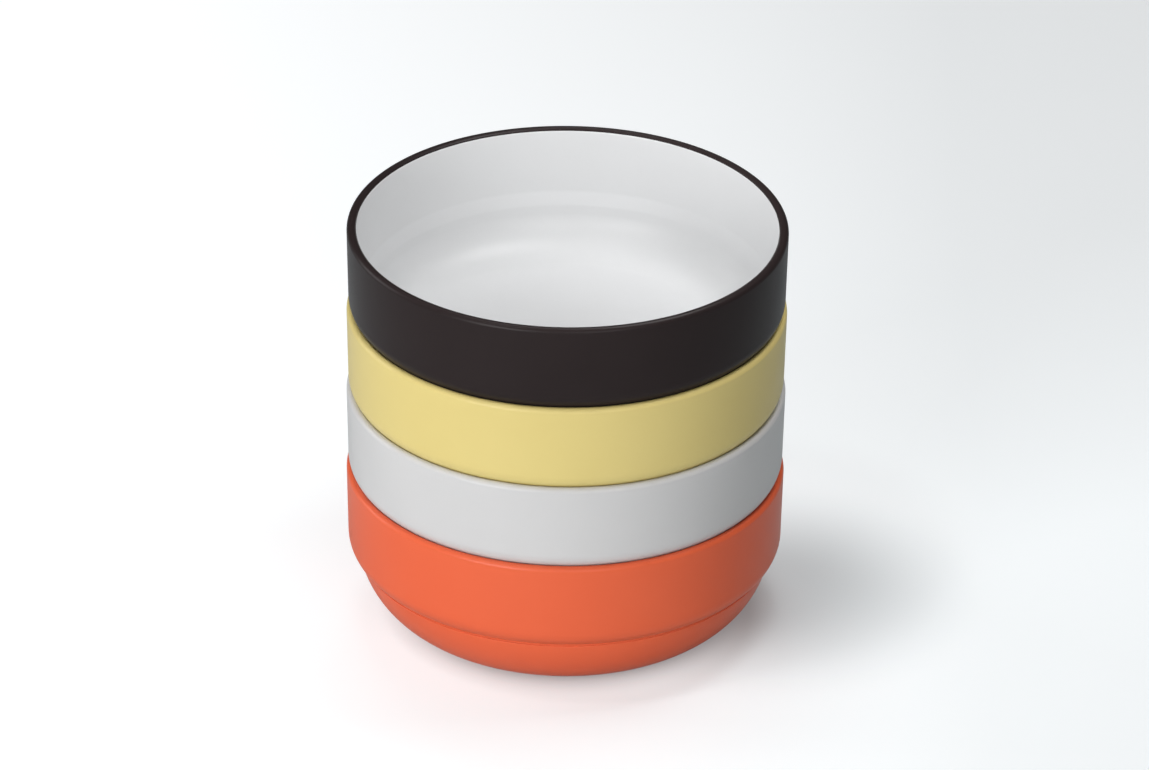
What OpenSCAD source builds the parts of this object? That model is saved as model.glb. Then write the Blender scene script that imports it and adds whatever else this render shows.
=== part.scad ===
// A nest of four double-walled mixing bowls for hair colour.
// Each bowl is a drawn-in wall with a rim, a rounded base cup, a white liner and a non-slip ring.
// The origin is at the middle of the face that the nest stands on, and +Z is up.

/* [Nest] */
// Height that each bowl adds to the nest
nest_pitch = 26.4; // [26.4:0.1:34]

/* [Bowl] */
// Outer diameter at the rim
rim_d = 130; // [129.6:0.1:130.4]
// Height of one bowl from the surface it stands on to its rim
bowl_h = 49; // [48.8:0.1:49.2]
// Radius of the rim's fully rounded top edge
rim_round_r = 1.5; // [1.4:0.05:1.5]

/* [Outer wall] */
// Depth from the rim to the start of the wall's lower curve
wall_drop = 22.15; // [22.1:0.05:22.2]
// How much narrower the wall gets over that depth, on the radius
wall_draft = 0.5; // [0.5:0.05:0.6]
// Outer radius of the wall's lower curve
shoulder_r = 6; // [5.8:0.1:6.1]
// Thickness of the wall
wall_t = 1.6; // [1.4:0.1:1.7]
// Depth from the rim to the underside of the lip that covers the liner's edge
lip_drop = 1.9; // [1.8:0.1:2.2]

/* [Base cup] */
// Depth from the rim to the joint between wall and base cup
seam_drop = 28.1; // [28:0.1:28.2]
// Height of the fine groove left at that joint
seam_gap = 0.15; // [0.1:0.05:0.2]
// Outer radius of the base cup's curve
base_curve_r = 24.8; // [24.7:0.1:24.8]
// Radius of the flat part of the base
base_flat_r = 37; // [36.9:0.1:37.1]
// Thickness of the base cup
base_t = 2; // [1.8:0.1:2.1]
// Number of ribs under the liner
rib_count = 6; // [4:1:8]
// Thickness of each rib
rib_t = 1.6; // [1.2:0.1:2]

/* [Liner] */
// Depth from the rim to the inside floor
liner_depth = 37; // [36.9:0.1:37.1]
// Radius of the curve between the floor and the inside wall
liner_curve_r = 13.5; // [13.3:0.1:13.5]
// Radius of the flat inside floor
liner_floor_r = 45.6; // [45.4:0.1:45.6]
// Thickness of the liner
liner_t = 1.3; // [1.1:0.1:1.3]

/* [Non-slip ring] */
// Inner and outer radius of the ring
ring_in_r = 31.5; // [28:0.5:32]
ring_out_r = 35.5; // [34:0.5:36]
// How far the ring stands out below the base
ring_proud = 0.4; // [0.3:0.1:0.6]
// Depth of the groove that holds it
ring_groove = 1; // [0.8:0.1:1.2]

/* [Hidden] */
BOWLS = ["orange", "grey", "yellow", "black"];
PIECES = ["wall", "base_cup", "liner", "foot_ring"];
$fn = 96;

bowl_colour = [[0.90, 0.42, 0.29], [0.80, 0.80, 0.81], [0.86, 0.80, 0.54], [0.19, 0.17, 0.17]];
liner_colour = [0.93, 0.93, 0.93];
ring_colour = [0.32, 0.32, 0.34];

// Pieces fixed to each other sit this far apart
fixed_gap = 0.05;
// Points along each quarter of a curve
arc_steps = 20;

rim_r = rim_d / 2;
rim_c = [rim_r - rim_round_r, bowl_h - rim_round_r];
// The colour ends and the white liner starts at this angle on the rim's round
colour_end = 149;
wall_low_r = rim_r - wall_draft;
shoulder_c = [wall_low_r - shoulder_r, bowl_h - wall_drop];
shoulder_end = 62;
seam_z = bowl_h - seam_drop;
seam_r = shoulder_c[0] + shoulder_r * cos(shoulder_end);

base_c = [base_flat_r, ring_proud + base_curve_r];
base_top_z = seam_z - seam_gap;
base_start = asin((base_c[1] - base_top_z) / base_curve_r);
base_top_r = base_c[0] + base_curve_r * cos(base_start);
// The base cup's top edge is broken by this much, which is a small turn of its curve
edge_break = 0.15;
edge_turn = asin(edge_break / base_curve_r);
base_in_r = base_curve_r - base_t;
base_in_start = 17.5;
base_floor_z = ring_proud + base_t;

// The tongue of the base cup that is welded inside the wall's lower edge
tongue_t = 0.5;
tongue_h = 0.9;
tongue_out_r = seam_r - 0.68;

liner_c = [liner_floor_r, bowl_h - liner_depth + liner_curve_r];
liner_out_r = liner_curve_r + liner_t;
liner_under_z = bowl_h - liner_depth - liner_t;
step_w = 0.45;
step_r = 0.8;
// The lip ends in a slanted face that the liner's edge lies against
lip_tip = rim_c + rim_round_r * [cos(colour_end), sin(colour_end)];
lip_bevel = 0.5;
lip_ledge_r = rim_r - wall_t - 0.3;

boss_in_r = 22;
boss_t = 1.6;
rib_end_r = 44.5;

recess_r = 29;
recess_h = 0.8;
dimple_r = 4;
dimple_h = 0.3;
gate_r = 1.2;

// Points of an arc about c, from angle a to angle b, in the plane of radius and height
function arc(c, r, a, b) =
    let (n = max(2, ceil(abs(b - a) * arc_steps / 90)))
    [for (i = [0:n]) c + r * [cos(a + (b - a) * i / n), sin(a + (b - a) * i / n)]];

// A turned solid from its half outline
module turned(points) {
    rotate_extrude() polygon(points);
}

// Rim, outer wall and lower curve: the coloured skin that a hand holds
module wall(i) {
    lip_under_z = bowl_h - lip_drop;
    color(bowl_colour[i]) turned(concat(
        arc(rim_c, rim_round_r, colour_end, 0),
        arc(shoulder_c, shoulder_r, 0, -shoulder_end),
        [[seam_r - 0.04, seam_z], [tongue_out_r + fixed_gap, seam_z]],
        [[tongue_out_r + fixed_gap, seam_z + tongue_h + 0.1]],
        arc(shoulder_c, shoulder_r - wall_t, -shoulder_end, 0),
        [[lip_ledge_r, lip_under_z], [lip_tip[0] + lip_bevel, lip_under_z]]
    ));
}

// Rounded cup that closes the bowl from below and carries the liner on a boss and ribs
module base_cup(i) {
    color(bowl_colour[i]) {
        difference() {
            turned(concat(
                [[0, ring_proud], [base_flat_r, ring_proud]],
                arc(base_c, base_curve_r, -90, -base_start - edge_turn),
                [[base_top_r - edge_break, base_top_z]],
                [[tongue_out_r, base_top_z], [tongue_out_r, seam_z + tongue_h]],
                [[tongue_out_r - tongue_t, seam_z + tongue_h], [tongue_out_r - tongue_t - 0.1, base_top_z]],
                arc(base_c, base_in_r, -base_in_start, -90),
                [[0, base_floor_z]]
            ));
            translate([0, 0, ring_proud - 1]) cylinder(r = recess_r, h = 1 + recess_h);
            translate([0, 0, ring_proud]) cylinder(r = dimple_r, h = recess_h + dimple_h);
            difference() {
                translate([0, 0, ring_proud - 1]) cylinder(r = ring_out_r, h = 1 + ring_groove);
                translate([0, 0, ring_proud - 2]) cylinder(r = ring_in_r, h = 3 + ring_groove);
            }
        }
        translate([0, 0, ring_proud + recess_h]) cylinder(r = gate_r, h = 1);
        liner_support();
    }
}

// Ring boss and radial ribs, up to just under the liner's floor
module liner_support() {
    support_top = liner_under_z - fixed_gap;
    support_low = base_floor_z - 0.5;
    support_h = support_top - support_low;
    difference() {
        translate([0, 0, support_low]) cylinder(r = boss_in_r + boss_t, h = support_h);
        translate([0, 0, support_low - 1]) cylinder(r = boss_in_r, h = support_h + 2);
    }
    for (k = [0:rib_count - 1])
        rotate([0, 0, 360 * k / rib_count])
            translate([boss_in_r + boss_t / 2, -rib_t / 2, support_low])
                cube([rib_end_r - boss_in_r - boss_t / 2, rib_t, support_h]);
}

// White inner bowl: its top edge shows inside the rim, and the lip covers its shoulder
module liner() {
    lip_under_z = bowl_h - lip_drop - fixed_gap;
    wall_foot_r = liner_c[0] + liner_curve_r + step_r + step_w;
    step_z = liner_c[1] + step_r;
    edge_start = acos((lip_tip[0] - fixed_gap - rim_c[0]) / rim_round_r);
    color(liner_colour) {
        turned(concat(
            [[0, liner_under_z]],
            arc(liner_c, liner_out_r, -90, 0),
            [[wall_foot_r + liner_t, step_z + 0.3], [lip_ledge_r - fixed_gap, lip_under_z]],
            [[lip_tip[0] + lip_bevel - fixed_gap, lip_under_z]],
            arc(rim_c, rim_round_r, edge_start, 180),
            [[wall_foot_r, step_z + 0.1], [wall_foot_r - step_w / 2, step_z]],
            arc([liner_c[0] + liner_curve_r + step_r, liner_c[1]], step_r, 90, 180),
            arc(liner_c, liner_curve_r, 0, -90),
            [[0, bowl_h - liner_depth]]
        ));
        translate([0, 0, liner_under_z - 0.4]) cylinder(r = gate_r, h = 1);
    }
}

// Soft ring in the groove of the base: it stands on the table and keeps the bowl from sliding
module foot_ring() {
    edge_r = 0.3;
    in_r = ring_in_r + fixed_gap;
    out_r = ring_out_r - fixed_gap;
    top_z = ring_proud + ring_groove - fixed_gap;
    color(ring_colour) turned(concat(
        arc([in_r + edge_r, edge_r], edge_r, 180, 270),
        arc([out_r - edge_r, edge_r], edge_r, 270, 360),
        [[out_r, top_z], [in_r, top_z]]
    ));
}

// One piece of one bowl, at its place in the nest
module piece(i, name) {
    translate([0, 0, i * nest_pitch]) {
        if (name == "wall") wall(i);
        if (name == "base_cup") base_cup(i);
        if (name == "liner") liner();
        if (name == "foot_ring") foot_ring();
    }
}

for (i = [0:3])
    for (p = PIECES)
        piece(i, p);
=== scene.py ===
"""A nest of four double-walled bowls for mixing hair colour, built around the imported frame."""
import math

import bmesh
import bpy
from mathutils import Matrix, Vector


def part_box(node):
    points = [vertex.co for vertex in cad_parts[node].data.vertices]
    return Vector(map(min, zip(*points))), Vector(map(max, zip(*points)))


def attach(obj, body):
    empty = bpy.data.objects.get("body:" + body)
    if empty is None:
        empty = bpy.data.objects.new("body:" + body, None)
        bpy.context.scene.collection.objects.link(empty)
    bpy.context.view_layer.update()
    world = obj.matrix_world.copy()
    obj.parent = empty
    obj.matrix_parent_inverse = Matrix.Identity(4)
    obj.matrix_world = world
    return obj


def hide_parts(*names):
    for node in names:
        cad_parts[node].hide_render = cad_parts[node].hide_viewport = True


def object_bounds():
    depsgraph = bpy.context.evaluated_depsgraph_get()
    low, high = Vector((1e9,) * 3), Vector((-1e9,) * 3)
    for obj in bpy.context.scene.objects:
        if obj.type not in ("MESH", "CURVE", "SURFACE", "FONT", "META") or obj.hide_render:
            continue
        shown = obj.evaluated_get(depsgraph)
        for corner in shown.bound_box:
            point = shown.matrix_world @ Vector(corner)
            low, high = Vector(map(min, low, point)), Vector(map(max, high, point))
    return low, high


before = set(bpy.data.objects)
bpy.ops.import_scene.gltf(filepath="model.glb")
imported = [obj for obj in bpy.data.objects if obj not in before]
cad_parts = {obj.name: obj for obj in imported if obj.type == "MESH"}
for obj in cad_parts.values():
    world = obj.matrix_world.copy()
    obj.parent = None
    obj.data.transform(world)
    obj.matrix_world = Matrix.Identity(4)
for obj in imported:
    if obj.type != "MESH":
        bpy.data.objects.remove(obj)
cad_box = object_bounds()

# --- Camera -----------------------------------------------------------------------------------
# A long lens about three metres away, looking down into the top bowl from in front. The sizes of
# the pieces below are in millimetres, and MM turns them into Blender's metres.
MM = 0.001
scene = bpy.context.scene
nest_top = cad_box[1][2]
aim_right = 2.5
aim_below_top = 53.45
look_at = Vector((aim_right * MM, 0, nest_top - aim_below_top * MM))
camera_height_angle = math.radians(28.66)
camera_distance = 3.002
camera_roll = math.radians(0.643)

camera_data = bpy.data.cameras.new("studio_camera")
camera_data.sensor_width = 36
camera_data.lens = 317.5
camera_data.clip_start = 0.1
camera = bpy.data.objects.new("studio_camera", camera_data)
scene.collection.objects.link(camera)
towards_camera = Vector((0, -math.cos(camera_height_angle), math.sin(camera_height_angle)))
camera.location = look_at + camera_distance * towards_camera
level_view = towards_camera.to_track_quat("Z", "Y").to_matrix()
camera.rotation_euler = (level_view @ Matrix.Rotation(camera_roll, 3, "Z")).to_euler()
scene.camera = camera


# --- Floor ------------------------------------------------------------------------------------
# A flat board in a pale, slightly cool paint. It glows a little for the camera alone, which is painted light:
# more to the left, and least beside the nest on the right and under it, which is a painted shadow.
class Wire:
    """A shader socket that takes part in sums as a number would."""

    def __init__(self, tree, socket):
        self.tree = tree
        self.socket = socket

    def _sum(self, operation, first, second):
        return add_node(self.tree, "ShaderNodeMath", {"operation": operation}, {0: first, 1: second})

    def __add__(self, other):
        return self._sum("ADD", self, other)

    def __radd__(self, other):
        return self._sum("ADD", other, self)

    def __sub__(self, other):
        return self._sum("SUBTRACT", self, other)

    def __rsub__(self, other):
        return self._sum("SUBTRACT", other, self)

    def __mul__(self, other):
        return self._sum("MULTIPLY", self, other)

    def __rmul__(self, other):
        return self._sum("MULTIPLY", other, self)

    def __truediv__(self, other):
        return self._sum("DIVIDE", self, other)

    def __rtruediv__(self, other):
        return self._sum("DIVIDE", other, self)


def add_node(tree, kind, settings=None, values=None, output=0):
    """One node of any kind: its settings first, then the values or wires of its sockets."""
    node = tree.nodes.new(kind)
    for name, value in (settings or {}).items():
        setattr(node, name, value)
    for name, value in (values or {}).items():
        if isinstance(value, Wire):
            tree.links.new(value.socket, node.inputs[name])
        else:
            node.inputs[name].default_value = value
    return Wire(tree, node.outputs[output])


def new_finish(name):
    """An empty material, the tree it is drawn in, and where a point lies on the piece."""
    finish = bpy.data.materials.new(name)
    finish.use_nodes = True
    tree = finish.node_tree
    tree.nodes.clear()
    place = add_node(tree, "ShaderNodeTexCoord", output="Object")
    return finish, tree, place


def close_finish(tree, shader):
    """Joins the finished shader to the material's output."""
    out = tree.nodes.new("ShaderNodeOutputMaterial")
    tree.links.new(shader.socket, out.inputs["Surface"])


def split_place(tree, place):
    """The X, Y and Z of a place, each on its own wire."""
    split = tree.nodes.new("ShaderNodeSeparateXYZ")
    tree.links.new(place.socket, split.inputs[0])
    return [Wire(tree, socket) for socket in split.outputs]


def blend_colours(tree, share, first, second):
    """A colour between two others. A Mix node has its colours at sockets 6 and 7 and at output 2."""
    return add_node(tree, "ShaderNodeMix", {"data_type": "RGBA"}, {0: share, 6: first, 7: second}, output=2)


def ramp(tree, value, start, end, low, high, form="LINEAR"):
    """Goes from low at start to high at end, and is level outside them."""
    return add_node(tree, "ShaderNodeMapRange", {"interpolation_type": form}, {
        "Value": value, "From Min": start, "From Max": end, "To Min": low, "To Max": high})


# Round this point beside the nest the board's glow fades away: a painted shadow.
painted_shadow_centre = (61 * MM, 10 * MM, 0)
white_board, tree, place = new_finish("white_board")
paint = add_node(tree, "ShaderNodeBsdfPrincipled", None,
                 {"Base Color": (0.500, 0.545, 0.560, 1), "Roughness": 0.7})
left_to_right = split_place(tree, place)[0]
# The glow is brighter to the left and dimmer to the right: painted light.
side_glow = ramp(tree, left_to_right, start=-138 * MM, end=127 * MM, low=0.32, high=0.09)
from_shadow = add_node(tree, "ShaderNodeVectorMath", {"operation": "DISTANCE"},
                       {0: place, 1: painted_shadow_centre}, output=1)
glow_round_painted_shadow = ramp(tree, from_shadow, start=12 * MM, end=70 * MM, low=0, high=0.36, form="SMOOTHSTEP")
# No glow under and close round the foot, so the board is darker there: a painted contact shadow.
from_axis = add_node(tree, "ShaderNodeVectorMath", {"operation": "LENGTH"}, {0: place}, output=1)
outside_painted_foot_shadow = ramp(tree, from_axis, start=34 * MM, end=56 * MM, low=0, high=1, form="SMOOTHSTEP")
seen_by_camera = add_node(tree, "ShaderNodeLightPath")
glow_level = seen_by_camera * (side_glow + glow_round_painted_shadow) * outside_painted_foot_shadow
glow = add_node(tree, "ShaderNodeEmission", None,
                {"Color": blend_colours(tree, glow_level, (0, 0, 0, 1), (1.0, 0.985, 0.99, 1))})
close_finish(tree, add_node(tree, "ShaderNodeAddShader", None, {0: paint, 1: glow}))

floor_half = 4.0
floor_mesh = bpy.data.meshes.new("floor")
floor_mesh.from_pydata([(x * floor_half, y * floor_half, 0) for x, y in ((-1, -1), (1, -1), (1, 1), (-1, 1))],
                       [], [(0, 1, 2, 3)])
floor_mesh.materials.append(white_board)
floor = bpy.data.objects.new("floor", floor_mesh)
scene.collection.objects.link(floor)


# --- Lights -----------------------------------------------------------------------------------
# Square softboxes. The main one is low in front, on the left, and four more fill its shadows. A
# small high one draws the bright lines on the rims, one high at the back lights the inside, and a
# panel close by the nest lifts its right side.
def soft_light(name, turn, height_angle, distance, side, power):
    """A softbox on a circle round the nest, in metres; turn is measured to the left of the camera."""
    lit_height = 80 * MM
    lamp = bpy.data.lights.new(name, "AREA")
    lamp.shape = "SQUARE"
    lamp.size = side
    lamp.energy = power
    holder = bpy.data.objects.new(name, lamp)
    scene.collection.objects.link(holder)
    level_direction = Vector((-math.sin(math.radians(turn)), -math.cos(math.radians(turn)), 0))
    direction = math.cos(math.radians(height_angle)) * level_direction
    direction.z = math.sin(math.radians(height_angle))
    holder.location = Vector((0, 0, lit_height)) + distance * direction
    holder.rotation_euler = direction.to_track_quat("Z", "Y").to_euler()


soft_light("front_left_softbox", turn=34, height_angle=15, distance=2.0, side=1.0, power=24)
soft_light("wide_front_softbox", turn=34, height_angle=25, distance=2.2, side=2.0, power=7.0)
soft_light("front_right_softbox", turn=-15, height_angle=25, distance=2.0, side=1.0, power=10.4)
soft_light("left_softbox", turn=110, height_angle=17, distance=2.0, side=1.0, power=11.0)
soft_light("high_left_softbox", turn=55, height_angle=65, distance=2.0, side=0.2, power=3.2)
soft_light("high_side_softbox", turn=110, height_angle=70, distance=2.0, side=1.0, power=1.5)
soft_light("high_back_softbox", turn=168, height_angle=68, distance=2.0, side=0.6, power=6.4)
soft_light("near_right_panel", turn=-99.5, height_angle=70, distance=0.36, side=0.15, power=0.70)

# The room behind the board is seen but gives no light
world = bpy.data.worlds.new("pale_studio")
world.use_nodes = True
world.node_tree.nodes.clear()
seen_by_camera = add_node(world.node_tree, "ShaderNodeLightPath")
pale_room = add_node(world.node_tree, "ShaderNodeBackground", None,
                     {"Color": (0.90, 0.94, 0.96, 1), "Strength": seen_by_camera})
world_out = world.node_tree.nodes.new("ShaderNodeOutputWorld")
world.node_tree.links.new(pale_room.socket, world_out.inputs["Surface"])
scene.world = world
scene.view_settings.view_transform = "Standard"


# --- Coloured walls ---------------------------------------------------------------------------
# Each wall is moulded in one colour of matte plastic: a fully rounded rim, a wall that draws in by
# half a millimetre, and a tight curve under it. It is turned here from its half outline, and its
# rim runs over the edge of the liner.
BOWLS = ["orange", "grey", "yellow", "black"]


def arc(centre, radius, start, end, step=5):
    """Corners of an outline that lie on an arc, with no rounding of their own; angles in degrees."""
    count = max(2, math.ceil(abs(end - start) / step))
    angles = [math.radians(start + (end - start) * i / count) for i in range(count + 1)]
    return [(centre[0] + radius * math.cos(a), centre[1] + radius * math.sin(a), 0) for a in angles]


def raised(corners, level):
    """The same half outline, higher up the nest."""
    return [(r, z + level, rounding) for r, z, rounding in corners]


def soften(corners, closed):
    """The points of a half outline whose corners are (radius, height, rounding)."""
    side_share = 0.48
    facet_angle = 18
    points = []
    count = len(corners)
    for i, (r, z, rounding) in enumerate(corners):
        here = Vector((r, z))
        if rounding == 0 or not closed and i in (0, count - 1):
            points.append(here)
            continue
        before = Vector(corners[i - 1][:2]) - here
        after = Vector(corners[(i + 1) % count][:2]) - here
        half_turn = before.angle(after) / 2
        reach = min(rounding / math.tan(half_turn), side_share * before.length, side_share * after.length)
        inwards = (before.normalized() + after.normalized()).normalized()
        middle = here + inwards * reach / math.cos(half_turn)
        first = here + before.normalized() * reach - middle
        last = here + after.normalized() * reach - middle
        sweep = math.atan2(first.x * last.y - first.y * last.x, first.dot(last))
        steps = max(2, math.ceil(abs(math.degrees(sweep)) / facet_angle))
        for k in range(steps + 1):
            c, s = math.cos(sweep * k / steps), math.sin(sweep * k / steps)
            points.append(middle + Vector((c * first.x - s * first.y, s * first.x + c * first.y)))
    return points


def open_shape(name, start, sizes):
    """A new Geometry Nodes tree whose inputs are a starting shape, named sizes and a finish."""
    tree = bpy.data.node_groups.new(name, "GeometryNodeTree")
    face = tree.interface
    face.new_socket(start, in_out="INPUT", socket_type="NodeSocketGeometry")
    for label, size in sizes.items():
        kind = "NodeSocketInt" if isinstance(size, int) else "NodeSocketFloat"
        face.new_socket(label, in_out="INPUT", socket_type=kind).default_value = size
    face.new_socket("Finish", in_out="INPUT", socket_type="NodeSocketMaterial")
    face.new_socket("Piece", in_out="OUTPUT", socket_type="NodeSocketGeometry")
    given = tree.nodes.new("NodeGroupInput")
    return tree, {socket.name: Wire(tree, socket) for socket in given.outputs}


def close_shape(tree, shape, finish):
    """Ends a tree: copies are made real, the finish is set and the piece is given out."""
    real = add_node(tree, "GeometryNodeRealizeInstances", None, {"Geometry": shape})
    painted = add_node(tree, "GeometryNodeSetMaterial", None, {"Geometry": real, "Material": finish})
    out = tree.nodes.new("NodeGroupOutput")
    tree.links.new(painted.socket, out.inputs["Piece"])
    return tree


def build_turning():
    """Geometry Nodes that turn a half outline, drawn in X and Z, once round the Z axis."""
    tree, asked = open_shape("turned_piece", "Outline",
                             {"Facets": 240, "Axis Radius": 1 * MM, "Pole Merge": 0.001 * MM})
    radius, _, height = split_place(tree, add_node(tree, "GeometryNodeInputPosition"))
    section = add_node(tree, "ShaderNodeCombineXYZ", None,
                       {"X": radius - asked["Axis Radius"], "Y": 0 - height})
    laid = add_node(tree, "GeometryNodeSetPosition", None,
                    {"Geometry": asked["Outline"], "Position": section})
    profile = add_node(tree, "GeometryNodeMeshToCurve", None, {0: laid})
    ring = add_node(tree, "GeometryNodeCurvePrimitiveCircle", {"mode": "RADIUS"},
                    {"Resolution": asked["Facets"], "Radius": asked["Axis Radius"]})
    skin = add_node(tree, "GeometryNodeCurveToMesh", None, {0: ring, 1: profile})
    closed = add_node(tree, "GeometryNodeMergeByDistance", None,
                      {"Geometry": skin, "Distance": asked["Pole Merge"]})
    smooth = add_node(tree, "GeometryNodeSetShadeSmooth", None, {"Geometry": closed})
    return close_shape(tree, smooth, asked["Finish"])


turning = build_turning()


def run_nodes(name, mesh, tree, values):
    """The mesh that a node tree makes of a starting mesh, as a plain object."""
    piece = bpy.data.objects.new(name, mesh)
    scene.collection.objects.link(piece)
    step = piece.modifiers.new("build", "NODES")
    step.node_group = tree
    for socket in tree.interface.items_tree:
        if socket.in_out == "INPUT" and socket.name in values:
            step[socket.identifier] = values[socket.name]
    bpy.context.view_layer.update()
    ready = piece.evaluated_get(bpy.context.evaluated_depsgraph_get())
    made = bpy.data.meshes.new_from_object(ready)
    piece.modifiers.remove(step)
    piece.data = made
    return piece


def face_outwards(piece):
    """Turns the faces of a closed piece outwards."""
    shape = bmesh.new()
    shape.from_mesh(piece.data)
    if shape.calc_volume(signed=True) < 0:
        bmesh.ops.reverse_faces(shape, faces=shape.faces)
    shape.to_mesh(piece.data)
    shape.free()


def turn_piece(name, corners, finish, closed=True):
    """One turned piece: its half outline in millimetres is rounded, laid out and turned."""
    points = soften(corners, closed)
    edges = [(i, i + 1) for i in range(len(points) - 1)]
    if closed:
        edges.append((len(points) - 1, 0))
    outline = bpy.data.meshes.new(name)
    outline.from_pydata([(p.x * MM, 0, p.y * MM) for p in points], edges, [])
    piece = run_nodes(name, outline, turning, {"Finish": finish})
    face_outwards(piece)
    return piece


def noise(tree, place, scale, detail, roughness=0.5):
    """Cloudy noise through the piece, with values round 0.5."""
    return add_node(tree, "ShaderNodeTexNoise", None,
                    {"Vector": place, "Scale": scale, "Detail": detail, "Roughness": roughness})


def dents(tree, height, strength, depth):
    """Small bumps, with their depth in millimetres."""
    return add_node(tree, "ShaderNodeBump", None,
                    {"Strength": strength, "Distance": depth * MM, "Height": height})


def moulded_plastic(name, colour, deep_colour, grain=0.06, gloss=0.22):
    """Matte moulded plastic: a spark-eroded grain and a very faint mottle of the pigment."""
    finish, tree, place = new_finish(name)
    fine = noise(tree, place, scale=1400, detail=3, roughness=0.6)
    broad = noise(tree, place, scale=38, detail=2)
    mottle = ramp(tree, broad, start=0.35, end=0.975, low=0, high=1)
    close_finish(tree, add_node(tree, "ShaderNodeBsdfPrincipled", None, {
        "Base Color": blend_colours(tree, mottle, colour, deep_colour),
        "Roughness": 0.33 + (fine - 0.5) * 0.06 + (broad - 0.5) * 0.08,
        "Normal": dents(tree, fine, grain, 0.02), "IOR": 1.5, "Specular IOR Level": gloss}))
    return finish


plastics = {
    "orange": moulded_plastic("orange_plastic", (0.785, 0.132, 0.054, 1), (0.765, 0.124, 0.0495, 1)),
    "grey": moulded_plastic("grey_plastic", (0.612, 0.604, 0.604, 1), (0.592, 0.584, 0.584, 1)),
    "yellow": moulded_plastic("yellow_plastic", (0.717, 0.583, 0.224, 1), (0.697, 0.563, 0.210, 1)),
    "black": moulded_plastic("black_plastic", (0.0245, 0.0176, 0.0178, 1), (0.0212, 0.0151, 0.0153, 1),
                             grain=0.15, gloss=0.11),
}

bowl_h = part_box("orange_wall")[1].z / MM
nest_pitch = (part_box("grey_wall")[1].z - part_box("orange_wall")[1].z) / MM

rim_r = 65
rim_round_r = 1.5
rim_c = (rim_r - rim_round_r, bowl_h - rim_round_r)
# The colour ends and the white liner starts at this angle on the rim's round
colour_end = 149
wall_t = 1.6
wall_draft = 0.5
wall_drop = 22.15
shoulder_r = 6
shoulder_end = 62
shoulder_c = (rim_r - wall_draft - shoulder_r, bowl_h - wall_drop)

# The lip covers the liner's edge and ends in a slanted face
lip_drop = 1.9
lip_under_z = bowl_h - lip_drop
lip_bevel = 0.5
lip_tip_r = rim_c[0] + rim_round_r * math.cos(math.radians(colour_end))
ledge_inset = 0.3
lip_ledge_r = rim_r - wall_t - ledge_inset

# The joint with the base cup, whose tongue goes up inside the wall's lower edge
seam_drop = 28.1
seam_z = bowl_h - seam_drop
seam_r = shoulder_c[0] + shoulder_r * math.cos(math.radians(shoulder_end))
seam_tuck = 0.04
tongue_inset = 0.68
tongue_out_r = seam_r - tongue_inset
tongue_h = 0.9
tongue_room = 0.1

# Pieces fixed to each other sit this far apart
fixed_gap = 0.05
# Roundings of the corners
edge_break = 0.08
crisp = 0.05
eased = 0.1
rounded = 0.3

wall_outline = (
    arc(rim_c, rim_round_r, colour_end, 0, 6)
    + arc(shoulder_c, shoulder_r, 0, -shoulder_end, 4)
    + [(seam_r - seam_tuck, seam_z, edge_break), (tongue_out_r + fixed_gap, seam_z, crisp),
       (tongue_out_r + fixed_gap, seam_z + tongue_h + tongue_room, crisp)]
    + arc(shoulder_c, shoulder_r - wall_t, -shoulder_end, 0, 6)
    + [(lip_ledge_r, lip_under_z, eased), (lip_tip_r + lip_bevel, lip_under_z, crisp)])

for i, colour in enumerate(BOWLS):
    wall = turn_piece(colour + "_moulded_wall", raised(wall_outline, i * nest_pitch), plastics[colour])
    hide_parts(colour + "_wall")
    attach(wall, colour + "_bowl")


# --- Base cups --------------------------------------------------------------------------------
# The cup that closes each bowl from below is moulded in the wall's colour. Its tongue is welded
# inside the wall's lower edge, and a ring boss with six ribs carries the floor of the liner.
ring_proud = 0.4
base_curve_r = 24.8
base_flat_r = 37
base_t = 2
base_floor_z = ring_proud + base_t
base_c = (base_flat_r, ring_proud + base_curve_r)
base_in_start = 17.5

# The fine groove left at the joint, and the turn of the base's curve that its broken edge takes
seam_gap = 0.08
edge_turn = 0.4
base_top_z = seam_z - seam_gap
base_start = math.degrees(math.asin((base_c[1] - base_top_z) / base_curve_r))
base_top_r = base_c[0] + base_curve_r * math.cos(math.radians(base_start))
tongue_t = 0.5
tongue_in_r = tongue_out_r - tongue_t
tongue_top_z = seam_z + tongue_h
tongue_foot_w = 0.1

# Under the base: a shallow recess, a dimple with the mark of the gate, and the ring's groove
recess_r = 29
recess_h = 0.8
recess_z = ring_proud + recess_h
recess_edge = 0.2
dimple_r = 4
dimple_h = 0.3
dimple_z = recess_z + dimple_h
gate_r = 1.2
groove_in_r = 31.5
groove_out_r = 35.5
groove_h = 1
groove_z = ring_proud + groove_h
groove_edge = 0.15

cup_outline = (
    [(0, recess_z, 0), (gate_r, recess_z, eased), (gate_r, dimple_z, crisp),
     (dimple_r, dimple_z, eased), (dimple_r, recess_z, eased),
     (recess_r, recess_z, recess_edge), (recess_r, ring_proud, recess_edge),
     (groove_in_r, ring_proud, groove_edge), (groove_in_r, groove_z, eased),
     (groove_out_r, groove_z, eased), (groove_out_r, ring_proud, groove_edge)]
    + arc(base_c, base_curve_r, -90, -base_start - edge_turn, 3)
    + [(base_top_r - seam_tuck / 2, base_top_z, edge_break), (tongue_out_r, base_top_z, crisp),
       (tongue_out_r, tongue_top_z, eased), (tongue_in_r, tongue_top_z, eased),
       (tongue_in_r - tongue_foot_w, base_top_z, rounded)]
    + arc(base_c, base_curve_r - base_t, -base_in_start, -90, 5)
    + [(0, base_floor_z, 0)])

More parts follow.
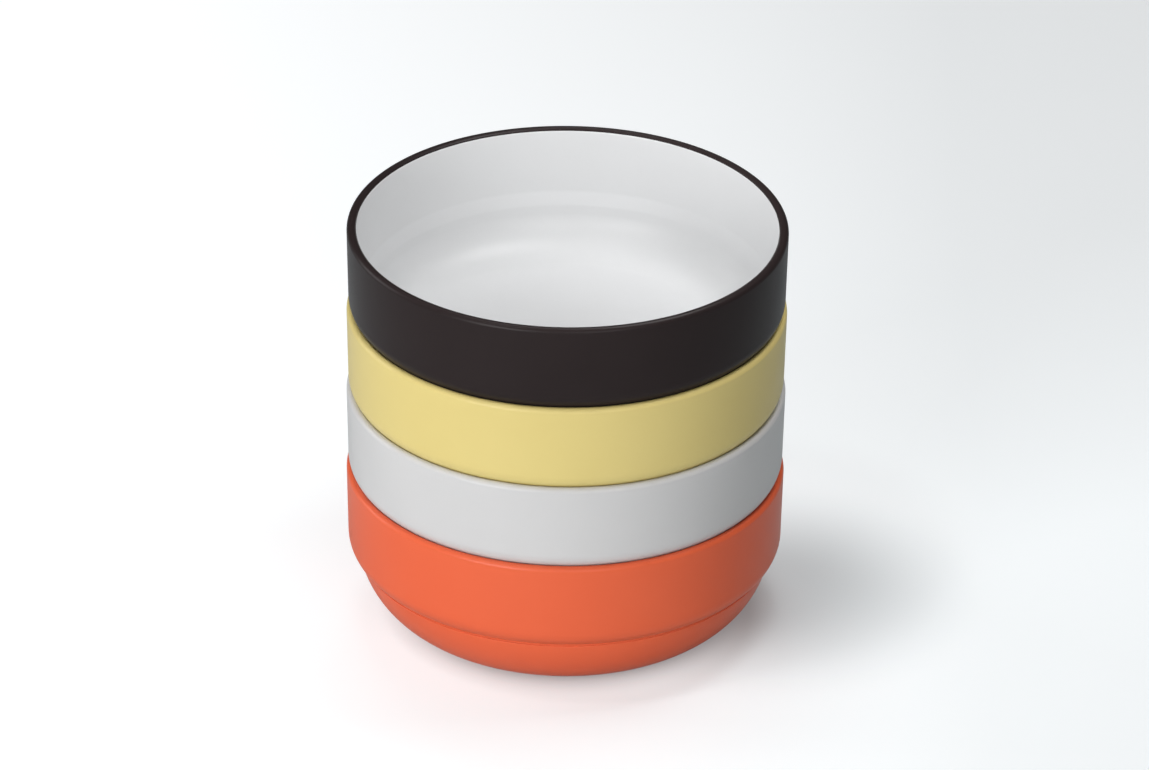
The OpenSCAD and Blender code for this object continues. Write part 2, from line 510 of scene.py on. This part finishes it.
# The boss and the ribs start inside the cup's floor and end just under the liner
boss_in_r = 22
boss_t = 1.6
rib_t = 1.6
rib_end_r = 44.5
rib_root = 0.5
liner_depth = 37
liner_t = 1.3
support_low = base_floor_z - rib_root
support_top = bowl_h - liner_depth - liner_t - fixed_gap


def build_support():
    """Geometry Nodes that stand ribs round a ring boss and join them to a cup."""
    tree, asked = open_shape("liner_support", "Cup", {
        "Ribs": 6, "Rib Thickness": rib_t * MM, "Rib Start": (boss_in_r + boss_t / 2) * MM,
        "Rib End": rib_end_r * MM, "Boss Radius": (boss_in_r + boss_t) * MM, "Boss Bore": boss_in_r * MM,
        "Low": support_low * MM, "High": support_top * MM})
    height = asked["High"] - asked["Low"]
    middle = (asked["High"] + asked["Low"]) * 0.5
    length = asked["Rib End"] - asked["Rib Start"]
    lift = add_node(tree, "ShaderNodeCombineXYZ", None, {"Z": middle})

    def tube(radius, depth):
        """A round bar that stands on the axis at the height of the support."""
        body = add_node(tree, "GeometryNodeMeshCylinder", None,
                        {"Vertices": 96, "Radius": radius, "Depth": depth})
        return add_node(tree, "GeometryNodeTransform", None, {"Geometry": body, "Translation": lift})

    boss = add_node(tree, "GeometryNodeMeshBoolean", {"operation": "DIFFERENCE", "solver": "MANIFOLD"}, {
        "Mesh 1": tube(asked["Boss Radius"], height), "Mesh 2": tube(asked["Boss Bore"], height * 2)})
    bar_size = add_node(tree, "ShaderNodeCombineXYZ", None,
                        {"X": length, "Y": asked["Rib Thickness"], "Z": height})
    bar = add_node(tree, "GeometryNodeMeshCube", None, {"Size": bar_size})
    stand = add_node(tree, "ShaderNodeCombineXYZ", None,
                     {"X": (asked["Rib Start"] + asked["Rib End"]) * 0.5, "Z": middle})
    rib = add_node(tree, "GeometryNodeTransform", None, {"Geometry": bar, "Translation": stand})
    places = add_node(tree, "GeometryNodeMeshLine", {"mode": "OFFSET"},
                      {"Count": asked["Ribs"], "Offset": (0, 0, 0)})
    turn = add_node(tree, "GeometryNodeInputIndex") * math.tau / asked["Ribs"]
    angle = add_node(tree, "ShaderNodeCombineXYZ", None, {"Z": turn})
    copies = add_node(tree, "GeometryNodeInstanceOnPoints", None,
                      {"Points": places, "Instance": rib, "Rotation": angle})
    ribs = add_node(tree, "GeometryNodeRealizeInstances", None, {"Geometry": copies})
    union = tree.nodes.new("GeometryNodeMeshBoolean")
    union.operation = "UNION"
    union.solver = "MANIFOLD"
    for part in (ribs, boss, asked["Cup"]):
        tree.links.new(part.socket, union.inputs["Mesh 2"])
    return close_shape(tree, Wire(tree, union.outputs["Mesh"]), asked["Finish"])


support = build_support()
sharp_from = math.radians(35)
for i, colour in enumerate(BOWLS):
    level = i * nest_pitch
    shell = turn_piece(colour + "_cup_shell", raised(cup_outline, level), plastics[colour], closed=False)
    cup = run_nodes(colour + "_moulded_base_cup", shell.data, support, {
        "Low": (support_low + level) * MM, "High": (support_top + level) * MM, "Finish": plastics[colour]})
    bpy.data.objects.remove(shell)
    cup.data.set_sharp_from_angle(angle=sharp_from)
    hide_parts(colour + "_base_cup")
    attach(cup, colour + "_bowl")


# --- Liners -----------------------------------------------------------------------------------
# The white inner bowl is one thin moulding with a satin face that wipes clean. Its edge lies under
# the rim's lip, a small step runs round its wall, and a wide curve leads down to the flat floor.
liner_curve_r = 13.5
liner_floor_r = 45.6
liner_c = (liner_floor_r, bowl_h - liner_depth + liner_curve_r)
liner_foot_r = liner_floor_r + liner_curve_r
liner_curve_end = 14
liner_edge_z = lip_under_z - fixed_gap
edge_start = math.degrees(math.acos((lip_tip_r - fixed_gap - rim_c[0]) / rim_round_r))

# The step, which runs softly into the wall above it and the curve below it
step_w = 0.45
step_r = 0.8
step_out_r = liner_foot_r + step_r + step_w
step_z = liner_c[1] + step_r
step_rise = 2.6
step_fall = 1.6
step_soft = 5
step_back_rise = 0.3
step_back_round = 0.5

liner_outline = (
    [(0, bowl_h - liner_depth - liner_t, 0)]
    + arc(liner_c, liner_curve_r + liner_t, -90, 0)
    + [(step_out_r + liner_t, step_z + step_back_rise, step_back_round),
       (lip_ledge_r - fixed_gap, liner_edge_z, crisp),
       (lip_tip_r + lip_bevel - fixed_gap, liner_edge_z, crisp)]
    + arc(rim_c, rim_round_r, edge_start, 180, 6)
    + [(step_out_r, step_z + step_rise, step_soft), (liner_foot_r, step_z - step_fall, step_soft)]
    + arc(liner_c, liner_curve_r, -liner_curve_end, -90, 4)
    + [(0, bowl_h - liner_depth, 0)])

white_satin, tree, place = new_finish("white_liner_plastic")
fine = noise(tree, place, scale=900, detail=3, roughness=0.6)
broad = noise(tree, place, scale=30, detail=2)
close_finish(tree, add_node(tree, "ShaderNodeBsdfPrincipled", None, {
    "Base Color": blend_colours(tree, broad, (0.652, 0.657, 0.663, 1), (0.637, 0.642, 0.648, 1)),
    "Roughness": 0.33 + fine * 0.06 + broad * 0.05,
    "Normal": dents(tree, fine, 0.15, 0.02), "IOR": 1.49, "Specular IOR Level": 0.4}))

for i, colour in enumerate(BOWLS):
    level = i * nest_pitch
    liner = turn_piece(colour + "_white_liner", raised(liner_outline, level), white_satin, closed=False)
    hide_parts(colour + "_liner")
    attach(liner, colour + "_bowl")


# --- Foot rings -------------------------------------------------------------------------------
# A dark ring of soft moulded rubber is pressed into the groove under each base. It stands proud by
# less than half a millimetre and keeps the bowl from sliding while colour is stirred.
ring_in_r = groove_in_r + fixed_gap
ring_out_r = groove_out_r - fixed_gap
ring_top_z = groove_z - fixed_gap
ring_edge = 0.08
ring_outline = [(ring_in_r, 0, rounded), (ring_out_r, 0, rounded),
                (ring_out_r, ring_top_z, ring_edge), (ring_in_r, ring_top_z, ring_edge)]

soft_rubber, tree, place = new_finish("soft_grey_rubber")
fine = noise(tree, place, scale=1100, detail=4, roughness=0.65)
broad = noise(tree, place, scale=55, detail=2)
close_finish(tree, add_node(tree, "ShaderNodeBsdfPrincipled", None, {
    "Base Color": blend_colours(tree, broad, (0.085, 0.085, 0.090, 1), (0.110, 0.110, 0.115, 1)),
    "Roughness": 0.66 + fine * 0.16, "Normal": dents(tree, fine, 0.4, 0.03), "IOR": 1.45}))

for i, colour in enumerate(BOWLS):
    ring = turn_piece(colour + "_rubber_ring", raised(ring_outline, i * nest_pitch), soft_rubber)
    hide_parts(colour + "_foot_ring")
    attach(ring, colour + "_bowl")
